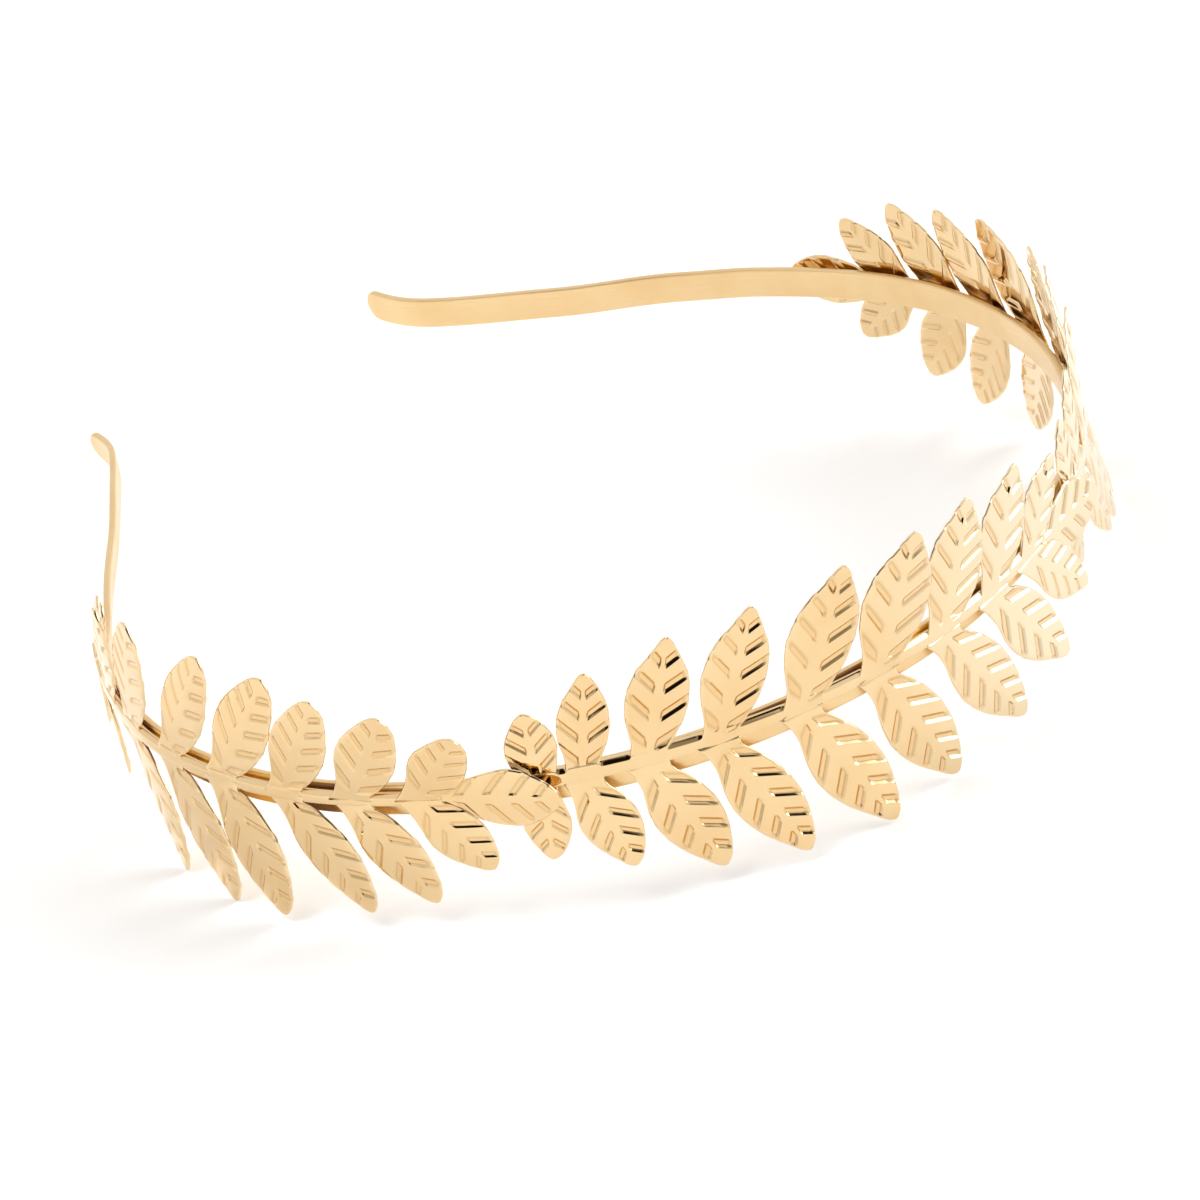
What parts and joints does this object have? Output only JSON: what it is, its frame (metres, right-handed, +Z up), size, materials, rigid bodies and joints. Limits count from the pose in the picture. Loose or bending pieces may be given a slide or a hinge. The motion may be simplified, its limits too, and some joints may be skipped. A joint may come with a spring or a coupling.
{
  "type": "laurel wreath crown",
  "caption": "Open springy metal strip bent to a head, with sprays of veined leaves in opposite pairs fixed along its outside, all pointing the same way round.",
  "frame": {"origin": "centre of the bounding box in plan, at the height of the lowest leaf tips that the crown stands on", "axes": "+Z up, the front of the crown faces -Y, the strip's two open ends point to +Y, the leaves of the front spray point to +X"},
  "size_m": [0.1374, 0.154, 0.0369],
  "materials": {
    "gilt_strip": "smooth pale gold plating, satin on the inside",
    "gilt_leaf": "polished pale gold plating over pressed veins"
  },
  "bodies": {
    "root": {"strip": "gilt_strip", "left_spray": "gilt_leaf", "front_spray": "gilt_leaf", "right_spray": "gilt_leaf"}
  },
  "joints": []
}
